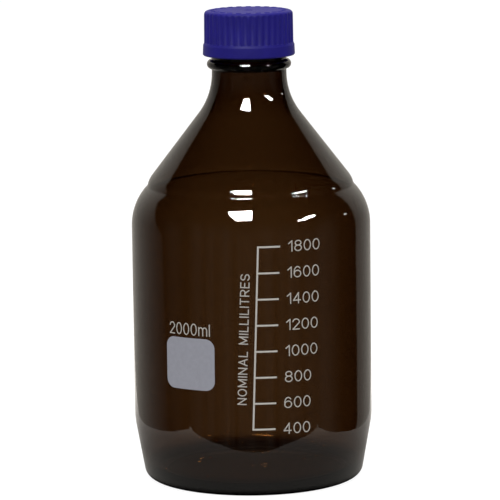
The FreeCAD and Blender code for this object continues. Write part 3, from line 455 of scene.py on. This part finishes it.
def make_cap():
    """The cap in one skin: roof and bore inside, then the skirt, the band, the ribs and the top."""
    skirt_top = SKIRT_Z + SKIRT_CHAMFER
    ridge_top = CAP_RIDGE_Z + CAP_RIDGE_CLIMB + CAP_RIDGE_SPREAD
    outline = Outline(0, ROOF_Z)
    outline.line(CAP_BORE_R, ROOF_Z, soft=ROOF_SOFT)
    outline.line(CAP_BORE_R, KEEPER_TOP_Z, soft=KEEPER_GAP)
    outline.line(KEEPER_R, KEEPER_TOP_Z, soft=KEEPER_EDGE)
    outline.line(CAP_BORE_R, KEEPER_FOOT_Z, soft=ROOF_SOFT)
    outline.line(CAP_BORE_R, ridge_top)
    outline.line(CAP_BORE_R, skirt_top, pieces=CAP_RIDGE_ROWS)
    outline.line(CAP_BORE_R + SKIRT_CHAMFER, SKIRT_Z, soft=SKIRT_EDGE)
    outline.line(BAND_FOOT_R - SKIRT_CHAMFER, SKIRT_Z, soft=SKIRT_ROUND)
    outline.line(BAND_FOOT_R, skirt_top, soft=SKIRT_ROUND)
    outline.line(BAND_TOP_R, BAND_TOP_Z, soft=BAND_ROUND)
    outline.line(RIB_FOOT_R, RIB_FOOT_Z, soft=BAND_ROUND)
    outline.line(RIB_FOOT_R, RIB_FOOT_Z + FLUTE_FOOT, pieces=FLUTE_FOOT_ROWS)
    outline.line(RIB_TOP_R, CORNER_Z)
    outline.arc(TOP_FLAT_R, CAP_TOP_Z, CAP_CORNER)
    outline.line(MARK_R + MARK_WIDTH / 2 + MARK_SOFT, CAP_TOP_Z)
    outline.line(MARK_R - MARK_WIDTH / 2 - MARK_SOFT, CAP_TOP_Z, pieces=MARK_ROWS)
    outline.line(GATE_R + 2 * GATE_DEPTH, CAP_TOP_Z, soft=GATE_SOFT)
    outline.line(GATE_R, CAP_TOP_Z - GATE_DEPTH, soft=GATE_SOFT)
    outline.line(0, CAP_TOP_Z - GATE_DEPTH)

    def shape(r, z, angle):
        inside = r <= CAP_BORE_R + ON_AXIS and z <= ROOF_Z
        if inside and skirt_top < z < ridge_top:
            r -= thread_height(z, angle, CAP_RIDGE_Z, CAP_RIDGE_CLIMB, CAP_RIDGE_CREST, CAP_RIDGE_SPREAD)
        elif not inside and z > RIB_FOOT_Z and r > CAP_BORE_R:
            fluted = soft_min(r, flute_face(angle), FLUTE_SOFT)
            r += (fluted - r) * smooth_step((z - RIB_FOOT_Z) / FLUTE_FOOT)
        elif not inside and z > CORNER_Z:
            z += mark_height(r, angle)
        return r, z

    return lathe("cap_shell", outline, CAP_COLUMNS, shape)


def make_pouring_ring():
    """The drip-free ring on the lip: sleeve in the mouth, flange with a lip, skirt with its catch."""
    sleeve_r = MOUTH_R - RING_FIT
    pour_r = sleeve_r - RING_WALL
    inner_r = LIP_R + RING_FIT
    outer_r = inner_r + RING_WALL
    foot_z = RIM_Z - SLEEVE_DEPTH
    catch_r = SNAP_R + RING_FIT
    catch_z = SNAP_TOP_Z - RING_FIT
    outline = Outline(sleeve_r - RING_WALL / 2, foot_z)
    outline.line(sleeve_r, foot_z, soft=RING_EDGE)
    outline.line(sleeve_r, RIM_Z, soft=RING_SEAT_SOFT)
    outline.line(inner_r, RIM_Z, soft=RING_SEAT_SOFT)
    outline.line(inner_r, catch_z + SNAP_DEPTH, soft=RING_SEAT_SOFT)
    outline.line(catch_r, catch_z, soft=CATCH_SOFT)
    outline.line(catch_r, LEDGE_Z + RING_FIT, soft=RING_EDGE)
    outline.line(outer_r, LEDGE_Z + RING_FIT, soft=RING_EDGE)
    outline.line(outer_r, FACING_Z - DRIP_HEIGHT, soft=RING_EDGE)
    outline.line(outer_r - 2 * DRIP_HEIGHT, FACING_Z, soft=RING_EDGE)
    outline.line(pour_r, FACING_Z, soft=2 * RING_EDGE)
    outline.line(pour_r, foot_z, soft=RING_EDGE)
    outline.line(pour_r + RING_WALL / 4, foot_z)
    return lathe("pour_ring", outline, RING_COLUMNS)


def make_disc(name, low_z, high_z, edge):
    """A round sheet of the liner's size with softened edges."""
    outline = Outline(0, low_z)
    outline.line(LINER_R, low_z, soft=edge)
    outline.line(LINER_R, high_z, soft=edge)
    outline.line(0, high_z)
    return lathe(name, outline, DISC_COLUMNS)


# Materials

def new_material(name):
    """A new material: its node tree, its shader and itself."""
    material = bpy.data.materials.new(name)
    material.use_nodes = True
    return material.node_tree, material.node_tree.nodes["Principled BSDF"], material


def add_node(tree, kind, settings=None, **inputs):
    """A shader node with its settings and inputs; an input is a value or another node's output."""
    node = tree.nodes.new(kind)
    for name, value in (settings or {}).items():
        setattr(node, name, value)
    set_inputs(tree, node, **inputs)
    return node


def set_inputs(tree, node, **inputs):
    """Set a node's inputs by name, with an underscore for each space."""
    for name, value in inputs.items():
        socket = node.inputs[name.replace("_", " ")]
        if isinstance(value, bpy.types.NodeSocket):
            tree.links.new(value, socket)
        else:
            socket.default_value = value


def object_place(tree):
    return add_node(tree, "ShaderNodeTexCoord").outputs["Object"]


def noise(tree, place, scale, detail=2.0, roughness=0.5):
    """Noise whose scale is the number of spots to a metre."""
    node = add_node(tree, "ShaderNodeTexNoise", Vector=place, Scale=scale, Detail=detail,
                    Roughness=roughness)
    return node.outputs["Fac"]


def spread(tree, value, low, high, from_low=0.3, from_high=0.7):
    """Map a noise value onto a range of numbers."""
    node = add_node(tree, "ShaderNodeMapRange", Value=value)
    set_inputs(tree, node, From_Min=from_low, From_Max=from_high, To_Min=low, To_Max=high)
    return node.outputs["Result"]


def two_colours(tree, value, first, second):
    """A colour between two, by a value from 0 to 1."""
    ramp = add_node(tree, "ShaderNodeValToRGB", Fac=value)
    ramp.color_ramp.elements[0].color = (*first, 1)
    ramp.color_ramp.elements[1].color = (*second, 1)
    return ramp.outputs["Color"]


def bump(tree, height, depth, normal=None):
    """Bump of a real depth in metres, on top of another bump where one is given."""
    node = add_node(tree, "ShaderNodeBump", Height=height, Distance=depth, Strength=1.0)
    if normal:
        tree.links.new(normal, node.inputs["Normal"])
    return node.outputs["Normal"]


def amber_glass():
    """Clear glass whose colour comes from its depth, with the faint waves of a blown wall."""
    tree, shader, material = new_material("amber_glass")
    place = object_place(tree)
    waves = bump(tree, noise(tree, place, scale=24, detail=1.0), depth=0.00025)
    skin = bump(tree, noise(tree, place, scale=160, detail=2.0), depth=0.000003, normal=waves)
    set_inputs(tree, shader, Base_Color=(1, 1, 1, 1), Roughness=0.0, IOR=1.52, Normal=skin)
    shader.inputs["Transmission Weight"].default_value = 1.0
    depth = add_node(tree, "ShaderNodeVolumeAbsorption", Color=(0.415, 0.264, 0.045, 1), Density=1150.0)
    tree.links.new(depth.outputs["Volume"], tree.nodes["Material Output"].inputs["Volume"])
    return material


def blue_plastic():
    """Moulded polypropylene: satin, faintly clouded, with a fine grain."""
    tree, shader, material = new_material("blue_plastic")
    place = object_place(tree)
    clouds = spread(tree, noise(tree, place, scale=90, detail=4.0), low=0.0, high=1.0)
    colour = two_colours(tree, clouds, first=(0.017, 0.011, 0.29), second=(0.023, 0.016, 0.35))
    gloss = spread(tree, noise(tree, place, scale=700, detail=3.0), low=0.47, high=0.57)
    ripple = bump(tree, noise(tree, place, scale=260, detail=1.0), depth=0.00003)
    grain = bump(tree, noise(tree, place, scale=4200, detail=2.0), depth=0.000012, normal=ripple)
    set_inputs(tree, shader, Base_Color=colour, Roughness=gloss, IOR=1.49, Normal=grain)
    shader.inputs["Specular IOR Level"].default_value = 0.36
    shader.inputs["Subsurface Weight"].default_value = 0.08
    shader.inputs["Subsurface Radius"].default_value = (0.0004, 0.0004, 0.0015)
    shader.inputs["Subsurface Scale"].default_value = 1.0
    return material


def white_enamel(name, thin, full):
    """Fired screen print: slightly uneven in cover, with a fine grain."""
    tree, shader, material = new_material(name)
    place = object_place(tree)
    cover = spread(tree, noise(tree, place, scale=420, detail=5.0, roughness=0.65), low=0.0, high=1.0)
    colour = two_colours(tree, cover, thin, full)
    gloss = spread(tree, noise(tree, place, scale=1500, detail=2.0), low=0.42, high=0.58)
    grain = bump(tree, noise(tree, place, scale=5200, detail=3.0), depth=0.00001)
    set_inputs(tree, shader, Base_Color=colour, Roughness=gloss, IOR=1.5, Normal=grain)
    return material


def liner_silicone():
    """Soft cream silicone with a dull skin."""
    tree, shader, material = new_material("liner_silicone")
    place = object_place(tree)
    clouds = spread(tree, noise(tree, place, scale=300, detail=4.0), low=0.0, high=1.0)
    colour = two_colours(tree, clouds, first=(0.60, 0.56, 0.49), second=(0.70, 0.66, 0.58))
    skin = bump(tree, noise(tree, place, scale=3000, detail=3.0), depth=0.00002)
    set_inputs(tree, shader, Base_Color=colour, Roughness=0.62, IOR=1.41, Normal=skin)
    return material


def white_film():
    """Skived film, with the fine round lines of its cutting."""
    tree, shader, material = new_material("white_film")
    place = object_place(tree)
    lines = add_node(tree, "ShaderNodeTexWave", {"wave_type": "RINGS", "rings_direction": "Z"},
                     Vector=place, Scale=900.0, Distortion=1.5, Detail=2.0).outputs["Fac"]
    colour = two_colours(tree, lines, first=(0.74, 0.74, 0.72), second=(0.80, 0.80, 0.78))
    skin = bump(tree, lines, depth=0.000006)
    set_inputs(tree, shader, Base_Color=colour, Roughness=0.5, IOR=1.38, Normal=skin)
    return material


# Stage

def new_plane(name, corners, z):
    """A flat sheet with the given corners, in metres."""
    mesh = bpy.data.meshes.new(name)
    mesh.from_pydata([(x, y, z) for x, y in corners], [], [range(len(corners))])
    sheet = bpy.data.objects.new(name, mesh)
    bpy.context.scene.collection.objects.link(sheet)
    return sheet


def make_floor():
    """A pale floor, nearly white by its own light; glossy surfaces see the sheet instead of it."""
    tree, shader, material = new_material("floor")
    set_inputs(tree, shader, Base_Color=(0.25, 0.25, 0.25, 1), Roughness=1.0, Emission_Color=(1, 1, 1, 1))
    shader.inputs["Specular IOR Level"].default_value = 0.0
    shader.inputs["Emission Strength"].default_value = FLOOR_LIGHT
    corners = [(-FLOOR_REACH, -FLOOR_REACH), (FLOOR_REACH, -FLOOR_REACH),
               (FLOOR_REACH, FLOOR_REACH), (-FLOOR_REACH, FLOOR_REACH)]
    floor = new_plane("floor", corners, 0.0)
    floor.data.materials.append(material)
    floor.visible_glossy = False
    floor.visible_diffuse = False


def combine(tree, operation, first, second):
    """Two values put together by a maths operation."""
    node = add_node(tree, "ShaderNodeMath", {"operation": operation})
    for socket, value in zip(node.inputs, (first, second)):
        if isinstance(value, bpy.types.NodeSocket):
            tree.links.new(value, socket)
        else:
            socket.default_value = value
    return node.outputs["Value"]


def make_sheet():
    """A glowing sheet under the bottle, seen only by glossy surfaces as a painted reflection of the floor;
    it glows less near the bottle and drops to a painted contact shadow at the foot.
    """
    tree, shader, material = new_material("sheet")
    set_inputs(tree, shader, Base_Color=(0, 0, 0, 1), Roughness=1.0, Emission_Color=SHEET_COLOUR)
    shader.inputs["Specular IOR Level"].default_value = 0.0
    reach = add_node(tree, "ShaderNodeVectorMath", {"operation": "LENGTH"})
    tree.links.new(object_place(tree), reach.inputs[0])
    distance = reach.outputs["Value"]
    outer = spread(tree, distance, low=0.33, high=1.1, from_low=0.10, from_high=0.26)
    # Painted contact shadow: the sheet's glow falls almost to nothing at the bottle's foot
    painted_contact_shadow = spread(tree, distance, low=0.02, high=1.0, from_low=0.0605, from_high=0.0665)
    tree.links.new(combine(tree, "MULTIPLY", outer, painted_contact_shadow), shader.inputs["Emission Strength"])
    sheet = new_plane("sheet", SHEET_FRONT + SHEET_SIDES, SHEET_Z)
    sheet.data.materials.append(material)
    for ray in ("camera", "diffuse", "transmission", "shadow", "volume_scatter"):
        setattr(sheet, f"visible_{ray}", False)


def make_lamp(name, low, high, z, radiance, mirrored_in=None):
    """A flat ceiling panel, soft unless it shows only as a mirror image in one piece."""
    mirrored = mirrored_in is not None
    width, depth = high[0] - low[0], high[1] - low[1]
    light = bpy.data.lights.new(name, "AREA")
    light.shape = "RECTANGLE"
    light.size = width
    light.size_y = depth
    light.energy = 4 * width * depth * radiance
    lamp = bpy.data.objects.new(name, light)
    lamp.location = ((low[0] + high[0]) / 2, (low[1] + high[1]) / 2, z)
    lamp.visible_camera = False
    lamp.visible_diffuse = not mirrored
    lamp.visible_glossy = mirrored
    lamp.visible_transmission = mirrored
    bpy.context.scene.collection.objects.link(lamp)
    if mirrored:
        receivers = bpy.data.collections.new(f"{name}_receivers")
        receivers.objects.link(mirrored_in)
        lamp.light_linking.receiver_collection = receivers


def make_lamps(glass, cap):
    """Panels that show in the glass, a weak one that shows in the cap, and one soft light for the rest."""
    for name, (low, high, radiance) in GLASS_PANELS.items():
        make_lamp(name, low, high, PANEL_Z, radiance, glass)
    low, high, radiance = CAP_PANEL
    make_lamp("panel_cap", low, high, PANEL_Z, radiance, cap)
    low, high, radiance = SOFT_BOX
    make_lamp("soft_box", low, high, SOFT_BOX_Z, radiance)


def choose(tree, switch, usual, other):
    """One value, or another where the switch is 1."""
    node = add_node(tree, "ShaderNodeMix", {"data_type": "FLOAT"}, Factor=switch, A=usual, B=other)
    return node.outputs["Result"]


def make_surroundings():
    """A white room, which glossy surfaces see as dark in front and pale behind."""
    world = bpy.data.worlds.new("surroundings")
    world.use_nodes = True
    bpy.context.scene.world = world
    tree = world.node_tree
    direction = add_node(tree, "ShaderNodeTexCoord").outputs["Generated"]
    axes = add_node(tree, "ShaderNodeSeparateXYZ", Vector=direction).outputs
    rays = add_node(tree, "ShaderNodeLightPath").outputs
    behind = spread(tree, axes["Y"], low=0.03, high=0.5, from_low=0.0, from_high=1.0)
    right_edge = spread(tree, axes["Y"], low=0.0, high=1.0, from_low=0.49, from_high=0.53)
    slant = combine(tree, "SUBTRACT", axes["Y"], combine(tree, "MULTIPLY", axes["Z"], LEFT_EDGE_SLOPE))
    left_edge = spread(tree, slant, low=0.0, high=1.0, from_low=0.14, from_high=0.21)
    left_half = spread(tree, axes["X"], low=1.0, high=0.0, from_low=-0.05, from_high=0.05)
    height = spread(tree, axes["Z"], low=1.0, high=1.5, from_low=0.0, from_high=0.4)
    sides = combine(tree, "MAXIMUM", right_edge, combine(tree, "MULTIPLY", left_half, left_edge))
    backdrop = combine(tree, "MULTIPLY", combine(tree, "MULTIPLY", behind, sides), height)
    upright = add_node(tree, "ShaderNodeVectorMath", {"operation": "MULTIPLY"})
    tree.links.new(direction, upright.inputs[0])
    upright.inputs[1].default_value = STREAK_SCALE
    streaks = noise(tree, upright.outputs["Vector"], scale=1.0, detail=4.0)
    furniture = spread(tree, streaks, low=0.0, high=0.12, from_low=0.35, from_high=0.7)
    ahead = spread(tree, axes["Y"], low=1.0, high=0.0, from_low=-0.15, from_high=0.1)
    level = spread(tree, axes["Z"], low=1.0, high=0.0, from_low=0.1, from_high=0.45)
    room = combine(tree, "MULTIPLY", combine(tree, "MULTIPLY", furniture, ahead), level)
    mirrored = combine(tree, "MAXIMUM", backdrop, room)
    unlit = choose(tree, rays["Is Glossy Ray"], ROOM_LIGHT, mirrored)
    shown = choose(tree, rays["Is Diffuse Ray"], unlit, ROOM_FILL)
    tint = two_colours(tree, rays["Is Glossy Ray"], first=(1, 1, 1), second=(1, 0.94, 0.84))
    set_inputs(tree, tree.nodes["Background"], Color=tint, Strength=shown)


def make_camera():
    """The photograph's camera, a little rolled."""
    forward = (CAMERA_AIM - CAMERA_PLACE).normalized()
    level = forward.cross(Vector((0, 0, 1))).normalized()
    upright = level.cross(forward)
    right = level * math.cos(CAMERA_ROLL) + upright * math.sin(CAMERA_ROLL)
    axes = Matrix((right, right.cross(forward), -forward)).transposed()
    lens = bpy.data.cameras.new("camera")
    lens.sensor_width = SENSOR_WIDTH
    lens.lens = CAMERA_LENS
    lens.clip_end = VIEW_END
    camera = bpy.data.objects.new("camera", lens)
    camera.matrix_world = Matrix.Translation(CAMERA_PLACE) @ axes.to_4x4()
    bpy.context.scene.collection.objects.link(camera)
    bpy.context.scene.camera = camera


def dress(piece, body, node, material):
    """Finish a piece, tie it to its body and let it stand for its model node."""
    piece.data.materials.append(material)
    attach(piece, body)
    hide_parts(node)


# Pieces in place of the model's solids
plastic = blue_plastic()
glass = make_glass()
dress(glass, "bottle", "glass_bottle", amber_glass())
dress(make_pouring_ring(), "bottle", "pouring_ring", plastic)
facing = make_disc("facing_disc", FACING_Z, LINER_Z, FACING_EDGE)
dress(facing, "seal", "liner_facing", white_film())
liner = make_disc("liner_disc", LINER_Z, ROOF_Z, LINER_EDGE)
dress(liner, "seal", "seal_liner", liner_silicone())
cap = make_cap()
dress(cap, "cap", "screw_cap", plastic)

# Prints: the model's own layers, in enamel of three strengths
line_enamel = white_enamel("line_enamel", thin=(0.86, 0.83, 0.76), full=(0.97, 0.94, 0.87))
text_enamel = white_enamel("text_enamel", thin=(0.74, 0.71, 0.65), full=(0.84, 0.81, 0.75))
panel_enamel = white_enamel("panel_enamel", thin=(0.53, 0.535, 0.61), full=(0.59, 0.595, 0.675))
PRINTS = {
    "graduation_scale": line_enamel,
    "graduation_numerals": text_enamel,
    "capacity_mark": text_enamel,
    "unit_legend": text_enamel,
    "writing_field": panel_enamel,
}
for print_name, enamel in PRINTS.items():
    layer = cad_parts[print_name]
    layer.data.materials.clear()
    layer.data.materials.append(enamel)

# Stage, light and camera
make_floor()
make_sheet()
make_lamps(glass, cap)
make_surroundings()
make_camera()
bpy.context.scene.view_settings.view_transform = "Standard"
